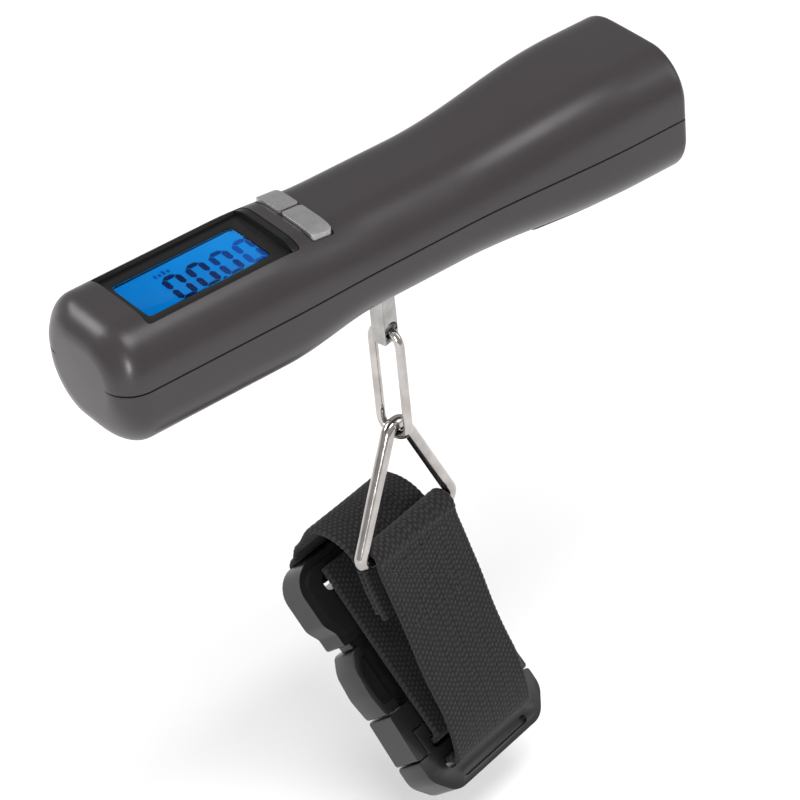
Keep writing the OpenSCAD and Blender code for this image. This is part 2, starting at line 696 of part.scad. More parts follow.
module buckle_socket() {
    color([0.1, 0.1, 0.1]) on_sling_buckle() difference() {
        union() {
            box_at(-half_b, half_b, cheek_v, window_from, buckle_t);
            box_at(-8.6, 8.6, window_from - 1, window_to + 1, buckle_t);
            box_at(-half_b + 1.2, half_b - 1.2, window_to, buckle_l - 6, buckle_t);
            rounded_box(-half_b, half_b, window_to + 2, buckle_l, buckle_t, 6);
        }
        box_at(-cheek_in, cheek_in, cheek_v - 1, mouth_v, 20);
        box_at(-cheek_in, cheek_in, mouth_v - 1, window_to, cavity_t);
        box_at(-lobe_in, lobe_in, window_to - 1, end_slot[0] - 1.8, cavity_t);
        box_at(-web_w / 2 - 0.8, web_w / 2 + 0.8, end_slot[0], end_slot[1], 20);
        translate([0, 0, -half_t]) box_at(-web_w / 2 - 0.8, web_w / 2 + 0.8, end_slot[1] - 0.1,
            buckle_l + 1, 2 * end_relief);
    }
}

arm_root_r = 1.3;
arm_root_u = 9.4;
arm_root_v = mouth_v + 1.1;
module arm_right_half() {
    translate([arm_root_u, arm_root_v, 0]) cylinder(r = arm_root_r, h = arm_t, center = true);
    box_at(arm_root_u - arm_root_r, arm_root_u + arm_root_r, arm_root_v, window_from + 3, arm_t);
    box_at(arm_root_u - 0.9, hook_u, window_from + 0.6, window_to + 3.4, arm_t);
    translate([0, window_from + 0.4, 0]) linear_extrude(buckle_t - 0.8, center = true) polygon([
        [cheek_in - 1.4, 0], [half_b, 0], [half_b + 0.5, pad_l * 0.4], [half_b - 0.4, pad_l * 0.8],
        [half_b - 2.6, pad_l], [cheek_in - 1.4, pad_l]]);
}
module release_arm_right() { color([0.1, 0.1, 0.1]) on_sling_buckle() arm_right_half(); }
module release_arm_left() { color([0.1, 0.1, 0.1]) on_sling_buckle() mirror([1, 0, 0]) arm_right_half(); }

upper_shell();
lower_shell();
display_bezel();
display_window();
lcd_panel();
backlight();
circuit_board();
tact_switches();
unit_button();
zero_button();
load_cell();
strain_gauges();
cell_anchor();
cell_screws();
post_collar();
post_washer();
suspension_post();
post_nut();
chain_link();
triangle_ring();
battery_door();
battery_tray();
coin_battery();
battery_spring();
battery_clip();
case_screws();
wiring();
sling_webbing();
rear_webbing();
buckle_frame();
buckle_socket();
release_arm_left();
release_arm_right();
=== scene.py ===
"""Looks for the hand-held luggage scale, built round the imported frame. Local sizes are in millimetres."""

import json
import math

import bmesh
import bpy
import numpy as np
from mathutils import Matrix, Quaternion, Vector


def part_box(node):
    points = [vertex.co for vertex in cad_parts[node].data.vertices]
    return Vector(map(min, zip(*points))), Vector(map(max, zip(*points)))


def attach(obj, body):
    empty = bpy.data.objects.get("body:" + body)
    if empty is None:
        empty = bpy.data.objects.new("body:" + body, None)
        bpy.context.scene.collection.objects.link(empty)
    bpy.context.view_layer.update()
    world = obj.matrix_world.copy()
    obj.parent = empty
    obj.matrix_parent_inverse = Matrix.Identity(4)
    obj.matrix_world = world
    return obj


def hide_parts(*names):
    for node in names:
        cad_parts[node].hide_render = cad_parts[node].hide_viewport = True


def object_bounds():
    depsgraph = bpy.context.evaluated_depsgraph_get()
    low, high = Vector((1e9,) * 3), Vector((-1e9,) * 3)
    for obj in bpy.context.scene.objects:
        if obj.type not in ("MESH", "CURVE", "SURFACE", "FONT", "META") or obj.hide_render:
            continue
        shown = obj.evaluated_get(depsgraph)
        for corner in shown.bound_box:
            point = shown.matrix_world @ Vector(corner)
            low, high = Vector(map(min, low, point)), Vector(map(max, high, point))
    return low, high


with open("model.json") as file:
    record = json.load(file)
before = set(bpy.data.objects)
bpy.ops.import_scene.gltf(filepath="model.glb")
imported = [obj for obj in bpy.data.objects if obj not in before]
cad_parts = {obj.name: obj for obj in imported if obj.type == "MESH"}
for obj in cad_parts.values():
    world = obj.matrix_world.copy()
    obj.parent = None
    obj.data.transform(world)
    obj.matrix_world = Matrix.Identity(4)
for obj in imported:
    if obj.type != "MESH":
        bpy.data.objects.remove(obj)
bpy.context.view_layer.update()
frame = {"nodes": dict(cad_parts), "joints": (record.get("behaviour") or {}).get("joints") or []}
MM = 0.001
rng = np.random.default_rng(7)

# ---- Camera ----

cam_data = bpy.data.cameras.new("camera")
cam_data.sensor_width = 36
cam_data.lens = 157.5
cam = bpy.data.objects.new("camera", cam_data)
bpy.context.scene.collection.objects.link(cam)
cam.location = (-0.3263, -0.4783, 0.3935)
aim = Vector((-0.0101, -0.0175, -0.0296))
turn = (aim - cam.location).to_track_quat("-Z", "Y") @ Quaternion((0, 0, 1), math.radians(-6))
cam.rotation_mode = "QUATERNION"
cam.rotation_quaternion = turn
bpy.context.scene.camera = cam

# ---- Frames of the moving parts, from the joints ----

joints = {j["name"]: j for j in frame["joints"]}
UP = Vector((0, 0, 1))


def frame_at(origin, x, y, z):
    m = Matrix((x, y, z)).transposed().to_4x4()
    m.translation = origin
    return m


IDENTITY = Matrix.Identity(4)
ring_base = Vector(joints["sling_swing"]["pos_m"])
across = Vector(joints["sling_swing"]["axis"]).normalized()
SLING = frame_at(ring_base, across, UP.cross(across), UP)
POST = frame_at(Vector((0, 0, 0)), across, UP.cross(across), UP)
arm_axis = Vector(joints["arm_right_squeeze"]["axis"]).normalized()
arm_r = Vector(joints["arm_right_squeeze"]["pos_m"])
arm_l = Vector(joints["arm_left_squeeze"]["pos_m"])
along_buckle = arm_axis.cross(across)
ROOT_V = 18.1
buckle_origin = (arm_r + arm_l) / 2 - along_buckle * ROOT_V * MM
BUCKLE = frame_at(buckle_origin, across, along_buckle, arm_axis)
BUCKLE_IN_SLING = SLING.inverted() @ BUCKLE


def on_buckle(v, w):
    p = BUCKLE_IN_SLING @ Vector((0, v * MM, w * MM))
    return (p.y / MM, p.z / MM)


# ---- Mesh tools ----


def mesh_object(name, verts, faces, matrix=IDENTITY):
    me = bpy.data.meshes.new(name)
    pts = [matrix @ (Vector(v) * MM) for v in verts]
    me.from_pydata(pts, [], [list(f) for f in faces])
    me.validate()
    bm = bmesh.new()
    bm.from_mesh(me)
    bmesh.ops.recalc_face_normals(bm, faces=bm.faces)
    bm.to_mesh(me)
    bm.free()
    ob = bpy.data.objects.new(name, me)
    bpy.context.scene.collection.objects.link(ob)
    return ob


def settle(ob):
    """Applies the modifiers to the mesh."""
    deps = bpy.context.evaluated_depsgraph_get()
    me = bpy.data.meshes.new_from_object(ob.evaluated_get(deps))
    ob.modifiers.clear()
    old = ob.data
    ob.data = me
    bpy.data.meshes.remove(old)


def boolean(ob, tools, op="DIFFERENCE"):
    for tool in tools if isinstance(tools, (list, tuple)) else [tools]:
        mod = ob.modifiers.new("cut", "BOOLEAN")
        mod.operation = op
        mod.solver = "EXACT"
        mod.object = tool
        settle(ob)
        bpy.data.objects.remove(tool)
    return ob


def bevel(ob, width, segments=3, angle=35):
    mod = ob.modifiers.new("bevel", "BEVEL")
    mod.width = width * MM
    mod.segments = segments
    mod.limit_method = "ANGLE"
    mod.angle_limit = math.radians(angle)
    mod.use_clamp_overlap = True
    mod.harden_normals = False
    settle(ob)
    return ob


def smooth(ob, angle=32):
    bm = bmesh.new()
    bm.from_mesh(ob.data)
    bmesh.ops.remove_doubles(bm, verts=bm.verts, dist=1e-7)
    limit = math.radians(angle)
    for e in bm.edges:
        e.smooth = len(e.link_faces) == 2 and e.calc_face_angle(0) < limit
    for f in bm.faces:
        f.smooth = True
    bm.to_mesh(ob.data)
    bm.free()
    return ob


def join(name, obs):
    bm = bmesh.new()
    for o in obs:
        bm.from_mesh(o.data)
    me = bpy.data.meshes.new(name)
    bm.to_mesh(me)
    bm.free()
    for o in obs:
        bpy.data.objects.remove(o)
    ob = bpy.data.objects.new(name, me)
    bpy.context.scene.collection.objects.link(ob)
    return ob


def rings(rows, closed_rows=False, caps=True):
    """Vertices and faces of a surface through rows of equally many points, each a closed ring."""
    n, m = len(rows[0]), len(rows)
    verts = [p for row in rows for p in row]
    faces = []
    for i in range(m if closed_rows else m - 1):
        a, b = i * n, ((i + 1) % m) * n
        for j in range(n):
            k = (j + 1) % n
            faces.append((a + j, b + j, b + k, a + k))
    if caps and not closed_rows:
        faces.append(tuple(range(n))[::-1])
        faces.append(tuple((m - 1) * n + j for j in range(n)))
    return verts, faces


def rounded(points, radii, steps=7):
    """Outline with its corners rounded."""
    out = []
    n = len(points)
    if not isinstance(radii, (list, tuple)):
        radii = [radii] * n
    for i in range(n):
        p = Vector(points[i])
        a = Vector(points[i - 1]) - p
        b = Vector(points[(i + 1) % n]) - p
        la, lb = a.length, b.length
        a.normalize()
        b.normalize()
        half = a.angle(b) / 2
        r = radii[i]
        cut = min(r / math.tan(half), la * 0.49, lb * 0.49) if r > 0 else 0
        if cut < 1e-4:
            out.append(tuple(p))
            continue
        r = cut * math.tan(half)
        c = p + (a + b).normalized() * (r / math.sin(half))
        s, e = p + a * cut - c, p + b * cut - c
        for t in range(steps + 1):
            f = t / steps
            d = s.lerp(e, f)
            d = d.normalized() * r if d.length > 1e-9 else d
            out.append(tuple(c + d))
    return out


def prism(name, outline, z0, z1, matrix=IDENTITY):
    return mesh_object(name, *rings([[(x, y, z) for x, y in outline] for z in (z0, z1)]), matrix)


def rect(x0, x1, y0, y1, r=0.6):
    return rounded([(x0, y0), (x1, y0), (x1, y1), (x0, y1)], r)


def lathe(name, profile, at=(0, 0), n=64, matrix=IDENTITY):
    """Solid of revolution about z, from (radius, height) points that start and end near the axis."""
    rows = []
    for r, z in profile:
        rows.append([(at[0] + r * math.cos(2 * math.pi * j / n), at[1] + r * math.sin(2 * math.pi * j / n), z)
                     for j in range(n)])
    return mesh_object(name, *rings(rows), matrix)


def cylinder(r, z0, z1, at=(0, 0), matrix=IDENTITY, n=48):
    return lathe("tool", [(r, z0), (r, z1)], at, n, matrix)


def turned_cylinder(r, y0, y1, x, z, matrix=IDENTITY):
    """Cylinder along y."""
    n = 48
    rows = [[(x + r * math.cos(2 * math.pi * j / n), y, z + r * math.sin(2 * math.pi * j / n))
             for j in range(n)] for y in (y0, y1)]
    return mesh_object("tool", *rings(rows), matrix)


def tube(name, path, r, closed, matrix=IDENTITY, sides=28, side_axis=(0, 1, 0)):
    """Round wire along a path that lies in one plane, whose normal is side_axis."""
    path = [Vector(p) for p in path]
    n = len(path)
    rows = []
    v = Vector(side_axis)
    for i, p in enumerate(path):
        a = path[i - 1] if closed or i > 0 else path[i]
        b = path[(i + 1) % n] if closed or i < n - 1 else path[i]
        h = (b - a).normalized()
        u = v.cross(h).normalized()
        rows.append([p + r * (math.cos(2 * math.pi * k / sides) * u + math.sin(2 * math.pi * k / sides) * v)
                     for k in range(sides)])
    return mesh_object(name, *rings(rows, closed_rows=closed), matrix)


def arc(cx, cz, r, a0, a1, steps):
    return [(cx + r * math.cos(math.radians(a0 + (a1 - a0) * i / steps)), 0,
             cz + r * math.sin(math.radians(a0 + (a1 - a0) * i / steps))) for i in range(steps + 1)]


# ---- Materials ----


class Mat:
    """A principled material with a few short calls for its nodes."""

    def __init__(self, name, **sockets):
        self.mat = bpy.data.materials.new(name)
        self.mat.use_nodes = True
        self.tree = self.mat.node_tree
        self.bsdf = self.tree.nodes["Principled BSDF"]
        for k, v in sockets.items():
            self.bsdf.inputs[k.replace("_", " ")].default_value = v
        self.coords = self.node("ShaderNodeTexCoord").outputs["Object"]

    def node(self, kind, inputs=None, **props):
        n = self.tree.nodes.new(kind)
        for k, v in props.items():
            setattr(n, k, v)
        for k, v in (inputs or {}).items():
            if isinstance(v, bpy.types.NodeSocket):
                self.tree.links.new(v, n.inputs[k])
            else:
                n.inputs[k].default_value = v
        return n

    def noise(self, scale, detail=3, rough=0.55, vector=None):
        return self.node("ShaderNodeTexNoise", {"Vector": vector or self.coords, "Scale": scale,
                                                "Detail": detail, "Roughness": rough}).outputs[0]

    def stretched(self, x, y, z, vector=None):
        place = vector or self.coords
        return self.node("ShaderNodeMapping", {"Vector": place, "Scale": (x, y, z)}).outputs[0]

    def ramp(self, value, lo, hi, to_lo, to_hi):
        return self.node("ShaderNodeMapRange", {"Value": value, "From Min": lo, "From Max": hi,
                                                "To Min": to_lo, "To Max": to_hi}).outputs[0]

    def mix(self, factor, a, b):
        n = self.node("ShaderNodeMix", data_type="RGBA")
        for sock, v in ((n.inputs[0], factor), (n.inputs[6], a), (n.inputs[7], b)):
            if isinstance(v, bpy.types.NodeSocket):
                self.tree.links.new(v, sock)
            else:
                sock.default_value = v if isinstance(v, (int, float)) else (*v, 1)
        return n.outputs[2]

    def math(self, op, a, b=0.0):
        n = self.node("ShaderNodeMath", operation=op)
        for i, v in enumerate((a, b)):
            if isinstance(v, bpy.types.NodeSocket):
                self.tree.links.new(v, n.inputs[i])
            else:
                n.inputs[i].default_value = v
        return n.outputs[0]

    def bump(self, height, distance, strength=1.0, under=None):
        inputs = {"Height": height, "Distance": distance * MM, "Strength": strength}
        if under:
            inputs["Normal"] = under
        return self.node("ShaderNodeBump", inputs).outputs[0]

    def attribute(self, name):
        return self.node("ShaderNodeAttribute", attribute_name=name)

    def set(self, **links):
        for k, v in links.items():
            self.tree.links.new(v, self.bsdf.inputs[k.replace("_", " ")])
        return self.mat


def moulded(name, dark, light, rough, grain=0.02, grain_scale=2600, specular=0.5):
    """Moulded plastic: a fine spark-eroded grain, broad tone changes and handling smudges."""
    m = Mat(name, Specular_IOR_Level=specular)
    broad = m.ramp(m.noise(38, 2), 0.35, 0.65, 0, 1)
    smudge = m.ramp(m.noise(160, 4), 0.4, 0.7, rough - 0.01, rough + 0.02)
    fine = m.noise(grain_scale, 2, 0.6)
    scratch = m.ramp(m.noise(900, 3, 0.6, m.stretched(0.06, 1, 1)), 0.62, 0.75, 0, 1)
    n = m.bump(scratch, 0.006, 0.4, m.bump(fine, grain, 0.6))
    speck = m.mix(m.ramp(fine, 0.4, 0.7, 0, 0.35), dark, light)
    return m.set(Base_Color=m.mix(broad, dark, speck), Roughness=smudge, Normal=n)


def metal(name, dark, light, rough, brush=(1, 1, 0.05), scale=1500, depth=0.01):
    """Bare or plated metal with fine lines along the direction that it was worked in."""
    m = Mat(name, Metallic=1.0)
    lines = m.noise(scale, 3, 0.6, m.stretched(*brush))
    cloud = m.ramp(m.noise(220, 4), 0.35, 0.65, 0, 1)
    r = m.math("ADD", m.ramp(lines, 0.3, 0.7, rough * 0.75, rough * 1.2), m.ramp(cloud, 0, 1, 0, 0.05))
    return m.set(Base_Color=m.mix(cloud, dark, light), Roughness=r, Normal=m.bump(lines, depth, 0.5))


casing_mat = moulded("casing_plastic", (0.033, 0.028, 0.029), (0.045, 0.039, 0.04), 0.32, specular=0.4)
bezel_mat = moulded("bezel_plastic", (0.006, 0.006, 0.0065), (0.01, 0.0095, 0.01), 0.36, 0.004, specular=0.25)
buckle_mat = moulded("buckle_plastic", (0.009, 0.0085, 0.009), (0.017, 0.016, 0.017), 0.34, 0.012, 3200)
collar_mat = moulded("collar_plastic", (0.015, 0.015, 0.016), (0.022, 0.022, 0.023), 0.42)
board_mat = moulded("board_mask", (0.012, 0.12, 0.04), (0.02, 0.17, 0.06), 0.3, 0.01)
lead_mat = moulded("lead_insulation", (0.4, 0.02, 0.02), (0.5, 0.03, 0.03), 0.45)
film_mat = moulded("gauge_film", (0.45, 0.2, 0.04), (0.55, 0.27, 0.08), 0.35)
light_mat = moulded("light_guide", (0.8, 0.82, 0.85), (0.9, 0.92, 0.95), 0.4)
chrome_mat = metal("nickel_plate", (0.4, 0.375, 0.36), (0.52, 0.49, 0.47), 0.12, (1, 1, 0.2), 1200, 0.004)
steel_mat = metal("bare_steel", (0.34, 0.33, 0.32), (0.47, 0.455, 0.445), 0.3, (1, 1, 0.03), 2600, 0.012)
alloy_mat = metal("milled_alloy", (0.66, 0.67, 0.68), (0.78, 0.78, 0.8), 0.28, (0.05, 1, 1), 1800)
screw_mat = metal("screw_steel", (0.3, 0.3, 0.31), (0.5, 0.5, 0.5), 0.32, (1, 1, 1), 1500)
bracket_mat = metal("bracket_zinc", (0.25, 0.25, 0.27), (0.36, 0.36, 0.38), 0.4, (1, 0.1, 1), 1200)
brass_mat = metal("contact_brass", (0.66, 0.5, 0.2), (0.78, 0.62, 0.3), 0.25, (1, 0.1, 1), 1500)
cell_mat = metal("cell_can", (0.6, 0.61, 0.62), (0.72, 0.72, 0.73), 0.2, (1, 1, 1), 900)


def key_material():
    """Silver paint with a fine flake."""
    m = Mat("key_paint", Metallic=0.8, Coat_Weight=0.15, Coat_Roughness=0.2)
    flake = m.noise(5200, 2, 0.7)
    cloud = m.ramp(m.noise(420, 3), 0.3, 0.7, 0, 1)
    tone = m.mix(m.ramp(flake, 0.35, 0.65, 0, 1), (0.26, 0.255, 0.26), (0.48, 0.475, 0.48))
    return m.set(Base_Color=m.mix(cloud, tone, (0.4, 0.395, 0.4)), Roughness=m.ramp(cloud, 0, 1, 0.3, 0.4),
                 Normal=m.bump(flake, 0.02, 0.5))


def display_material():
    """Lit blue panel, deeper towards its lower left, with faint cloudy variation."""
    m = Mat("display_panel", Roughness=0.6, Specular_IOR_Level=0.0, Emission_Strength=1.0)
    xyz = m.node("ShaderNodeSeparateXYZ", {"Vector": m.coords}).outputs
    lo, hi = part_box("lcd_panel")
    # Painted reflection: the glow brightens towards the upper right and deepens towards the lower left.
    painted_reflection_slope = m.math("ADD", m.ramp(xyz[0], lo.x, hi.x, 0, 0.62), m.ramp(xyz[1], lo.y, hi.y, 0, 0.38))
    cloud = m.math("ADD", painted_reflection_slope, m.ramp(m.noise(110, 3), 0.3, 0.7, -0.08, 0.08))
    tone = m.mix(cloud, (0.0, 0.11, 0.38), (0.0, 0.22, 0.62))
    return m.set(Base_Color=m.mix(0.85, tone, (0, 0.01, 0.04)), Emission_Color=tone)


def segment_material(name, tone):
    m = Mat(name, Roughness=0.7, Specular_IOR_Level=0.0, Emission_Strength=0.6)
    c = m.mix(m.ramp(m.noise(900, 2), 0.3, 0.7, 0, 1), tone, tuple(x * 1.25 for x in tone))
    return m.set(Base_Color=c, Emission_Color=c)


def window_material():
    """Clear acrylic with faint wipe marks."""
    m = Mat("window_acrylic", Transmission_Weight=1.0, IOR=1.12, Base_Color=(0.97, 0.99, 1, 1))
    wipe = m.noise(700, 3, 0.6, m.stretched(0.15, 1, 1))
    return m.set(Roughness=m.ramp(wipe, 0.4, 0.75, 0.0, 0.008))


def webbing_material():
    """Black woven webbing: painted shade in the grooves between ribs, fine yarn across each rib, and loose
    fibre sheen.
    """
    m = Mat("webbing_weave", Sheen_Weight=0.08, Sheen_Roughness=0.45, Specular_IOR_Level=0.2)
    height = m.attribute("weave").outputs["Fac"]
    flat = m.attribute("strap_place").outputs["Vector"]
    yarn = m.node("ShaderNodeTexWave", {"Vector": flat, "Scale": 1.0, "Distortion": 1.6, "Detail": 2.0,
                                        "Detail Scale": 2.0}, bands_direction="DIAGONAL").outputs[1]
    fibre = m.noise(6.5, 3, 0.7, flat)
    lint = m.ramp(m.noise(0.9, 2, 0.5, flat), 0.35, 0.65, 0, 1)
    # Painted shade: near black where the weave is low, in the grooves between ribs, lighter on the ribs.
    groove = m.ramp(height, 0.0, 1.0, 0, 1)
    tone = m.mix(groove, (0.0022, 0.002, 0.0021), (0.042, 0.0385, 0.04))
    worn = m.mix(m.ramp(fibre, 0.55, 0.8, 0, 0.5), tone, (0.05, 0.047, 0.048))
    c = m.mix(m.math("MULTIPLY", lint, 0.3), worn, (0.013, 0.012, 0.012))
    n = m.bump(fibre, 0.08, 0.5, m.bump(yarn, 0.05, 0.6))
    return m.set(Base_Color=c, Roughness=m.ramp(fibre, 0.2, 0.8, 0.62, 0.86), Normal=n)


def thread_material():
    m = Mat("thread", Sheen_Weight=0.1, Specular_IOR_Level=0.3)
    twist = m.noise(2600, 3, 0.6)
    c = m.mix(m.ramp(twist, 0.3, 0.7, 0, 1), (0.006, 0.0055, 0.0055), (0.024, 0.022, 0.022))
    return m.set(Base_Color=c, Roughness=m.ramp(twist, 0, 1, 0.45, 0.65), Normal=m.bump(twist, 0.03, 0.5))


key_mat = key_material()
display_mat = display_material()
window_mat = window_material()
webbing_mat = webbing_material()
thread_mat = thread_material()


def finish_piece(ob, mat, body, replaces=()):
    ob.data.materials.clear()
    ob.data.materials.append(mat)
    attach(ob, body)
    if replaces:
        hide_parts(*replaces)
    return ob


# ---- Handle casing ----

NOSE_L, TAIL_L = 71.0, 69.5
NOSE_ROUND, TAIL_ROUND = 6.5, 1.6
TOP_R, BELLY_R = 9.5, 9.0
WIDTHS, TOPS, DROPS = (30, 29, 33), (12, 10.8, 14.4), (14.5, 12, 14)
WALL, GROOVE, GROOVE_D = 1.8, 0.35, 0.7
WAIST_FROM, WAIST_TO, NOSE_BLEND, FLARE_MARGIN = -8, 12, 24, 12
# Rise of the top in the middle, and the small round of each shell's edge at the seam
CROWN, SEAM_EDGE = 0.3, 0.12


def ease(t):
    return (1 - math.cos(math.pi * min(1, max(0, t)))) / 2


def along(x, values):
    nose, waist, flare = values
    if x < WAIST_FROM:
        return nose + (waist - nose) * ease((x - WAIST_FROM + NOSE_BLEND) / NOSE_BLEND)
    return waist + (flare - waist) * ease((x - WAIST_TO) / (TAIL_L - FLARE_MARGIN - WAIST_TO))


def drawn_in(d, r):
    return r - math.sqrt(max(0, r * r - (r - d) ** 2)) if d < r else 0


def pull(x, inset):
    return inset + max(drawn_in(x + NOSE_L - inset, max(1, NOSE_ROUND - inset)),
                       drawn_in(TAIL_L - inset - x, max(0.4, TAIL_ROUND - inset)))


def section(x, inset, upper):
    """Half outline (y, z) of the handle, from +y round to -y; z is positive away from the seam."""
    gap = pull(x, inset)
    w = along(x, WIDTHS) / 2 - gap
    h = along(x, TOPS if upper else DROPS) - gap
    r = max(0.4, min((TOP_R if upper else BELLY_R) - max(0, inset), w - 0.1, h - 0.6))
    side = [(w, z) for z in np.linspace(0, h - r, 5)[:-1]]
    bend = [(w - r + r * math.cos(a), h - r + r * math.sin(a)) for a in np.linspace(0, math.pi / 2, 19)]
    top = [(y, h) for y in np.linspace(w - r, 0, 7)[1:]]
    half = side + bend + top
    pts = half + [(-y, z) for y, z in half[-2::-1]]
    if inset <= 0.2:
        pts = [(y, z + CROWN * (1 - (y / w) ** 2) * min(1, max(0, z / h) ** 3)) for y, z in pts]
    return pts


def stations(inset, steps=110):
    a, b = inset - NOSE_L, TAIL_L - inset
    r, e = max(1, NOSE_ROUND - inset), max(0.4, TAIL_ROUND - inset)
    nose = [a + r * (1 - math.cos(math.pi / 2 * i / 14)) for i in range(14)]
    middle = list(np.linspace(a + r, b - e, steps))
    tail = [b - e * (1 - math.sin(math.pi / 2 * i / 6)) for i in range(1, 7)]
    return nose + middle + tail


def casing_half(upper, inset, foot=0.0, groove=False):
    rows = []
    sign = 1 if upper else -1
    for x in stations(inset):
        pts = section(x, inset, upper)
        w = pts[0][0]
        if groove:
            pts = [p for p in pts if p[1] > GROOVE]
            lip = [(w - GROOVE_D, 0), (w - GROOVE_D, GROOVE), (w - SEAM_EDGE, GROOVE), (w, GROOVE + SEAM_EDGE)]
            pts = lip + pts + [(-y, z) for y, z in reversed(lip)]
        elif not upper and inset == 0:
            pts = [(w - SEAM_EDGE, 0), (w, SEAM_EDGE)] + pts[1:-1] + [(-w, SEAM_EDGE), (SEAM_EDGE - w, 0)]
        else:
            pts = [(w, foot)] + pts[1:-1] + [(-w, foot)]
        rows.append([(x, y, sign * z) for y, z in pts])
    n = min(len(r) for r in rows)
    if any(len(r) != n for r in rows):
        rows = [resample(r, n) for r in rows]
    return mesh_object("half", *rings(rows))


def resample(row, n):
    """Drops points beside the seam until the ring has n of them."""
    row = list(row)
    while len(row) > n:
        row.pop(4)
        if len(row) > n:
            row.pop(-5)
    return row


def whole(inset, x0, x1, steps=40):
    rows = []
    for x in np.linspace(x0, x1, steps):
        up = section(x, inset, True)
        low = section(x, inset, False)
        rows.append([(x, y, z) for y, z in up] + [(x, -y, -z) for y, z in low[1:-1]])
    return mesh_object("whole", *rings(rows))


def mm_box(node):
    lo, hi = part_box(node)
    return [c / MM for c in lo], [c / MM for c in hi]


bez_lo, bez_hi = mm_box("display_bezel")
FIT = 0.15
bezel_hole = (bez_lo[0] - FIT, bez_hi[0] + FIT, bez_lo[1] - FIT, bez_hi[1] + FIT)
key_lo, key_hi = mm_box("unit_button")
key2_lo, key2_hi = mm_box("zero_button")
FLANGE = 0.6
key_x = (key_lo[0] + FLANGE, key_hi[0] - FLANGE)
key_y = (key_lo[1], key_hi[1], key2_lo[1], key2_hi[1])
KEY_FOOT = key_lo[2]
door_lo, door_hi = mm_box("battery_door")
SCREWS = [(-NOSE_L + 7, 0), (-10.5, 6.5), (-10.5, -6.5), (13, 8.7), (13, -8.7), (TAIL_L - 5.2, 0)]
collar_lo, collar_hi = mm_box("post_collar")
COLLAR_R = (collar_hi[0] - collar_lo[0]) / 2


def belly_z(x, y):
    w, d = along(x, WIDTHS) / 2, along(x, DROPS)
    r = min(BELLY_R, w - 0.1, d - 0.6)
    return r - d - math.sqrt(max(0, r * r - max(0, abs(y) - w + r) ** 2))


upper = casing_half(True, 0, groove=True)
boolean(upper, [
    casing_half(True, WALL, foot=-1),
    prism("tool", rounded([(bezel_hole[0], bezel_hole[2]), (bezel_hole[1], bezel_hole[2]),
                           (bezel_hole[1], bezel_hole[3]), (bezel_hole[0], bezel_hole[3])], 0.8), 4, 25),
    prism("tool", rect(key_x[0] - FIT, key_x[1] + FIT, key_y[0] - FIT, key_y[3] + FIT, 0.7), 4, 25),
])
upper.name = upper.data.name = "casing_upper"
finish_piece(smooth(upper), casing_mat, "handle", ["upper_shell"])

lower = casing_half(False, 0)
cuts = [
    casing_half(False, WALL, foot=-1),
    cylinder(COLLAR_R + FIT, -40, 5),
    prism("tool", rect(door_lo[0] - 0.2, door_hi[0] + 0.2, door_lo[1] - 0.2, door_hi[1] + 0.2, 0.8), -40, -2),
]
HEAD_R, SHANK_R, BOSS_R, BOSS_TOP, SINK = 2.45, 1.55, 2.9, -3.2, 3.2
for p in SCREWS:
    cuts.append(cylinder(HEAD_R, -60, belly_z(*p) + SINK, p, n=32))
boolean(lower, cuts)
bosses = [lower]
for p in SCREWS:
    sink, low = belly_z(*p) + SINK, belly_z(p[0], abs(p[1]) + BOSS_R) + 0.4
    bosses.append(lathe("boss", [(HEAD_R, low), (HEAD_R, sink), (SHANK_R, sink), (SHANK_R, BOSS_TOP),
                                 (BOSS_R, BOSS_TOP), (BOSS_R, low), (HEAD_R, low)], p, 32))
lower = join("casing_lower", bosses)
finish_piece(smooth(lower), casing_mat, "handle", ["lower_shell"])

# Battery door: the same belly surface, a little proud, with four finger grooves at one end
door = whole(-0.25, door_lo[0] - 3, door_hi[0] + 3)
boolean(door, [prism("tool", rect(door_lo[0], door_hi[0], door_lo[1], door_hi[1], 0.7), -40, door_hi[2])],
        "INTERSECT")
FINGER_PITCH, FINGER_W, FINGER_FROM = 1.7, 0.8, 4.2
for i in range(4):
    x = door_hi[0] - FINGER_FROM - FINGER_PITCH * i
    boolean(door, prism("tool", rect(x, x + FINGER_W, -6, 6, 0.35), -40, belly_z(door_hi[0] - 5, 0) + 0.35))
door.name = door.data.name = "battery_cover"
finish_piece(smooth(door), casing_mat, "door", ["battery_door"])

# ---- Display ----

bezel = whole(0.1, bez_lo[0] - 3, bez_hi[0] + 3)
FLOOR_Z, BEZEL_END = 10.0, 1.6
win_lo, win_hi = mm_box("display_window")
outline = rect(bez_lo[0], bez_hi[0], bez_lo[1], bez_hi[1], 0.7)
boolean(bezel, [prism("tool", outline, bez_lo[2], 30)], "INTERSECT")
well = rect(bez_lo[0] - 5, bez_hi[0] - BEZEL_END, bez_lo[1] - 3, bez_hi[1] + 3, 2.2)
boolean(bezel, [
    prism("tool", well, FLOOR_Z, 30),
    prism("tool", rect(win_lo[0] - FIT, win_hi[0] + FIT, win_lo[1] - FIT, win_hi[1] + FIT, 0.9), 0, 30),
])
bezel.name = bezel.data.name = "bezel"
bevel(bezel, 0.18, 2, 40)
finish_piece(smooth(bezel), bezel_mat, "handle", ["display_bezel"])

window = prism("window", rect(win_lo[0], win_hi[0], win_lo[1], win_hi[1], 0.8), win_lo[2], win_hi[2] - 0.05)
finish_piece(smooth(bevel(window, 0.12, 2)), window_mat, "handle", ["display_window"])

lcd_lo, lcd_hi = mm_box("lcd_panel")
panel = prism("display_panel", rect(*[v for pair in zip(lcd_lo[:2], lcd_hi[:2]) for v in pair], 0.4),
              lcd_lo[2], lcd_hi[2])
finish_piece(smooth(panel), display_mat, "handle", ["lcd_panel"])

DIGIT_H, DIGIT_W, STROKE = 9.0, 4.4, 1.3
INK_Z = (lcd_hi[2] + 0.02, lcd_hi[2] + 0.08)


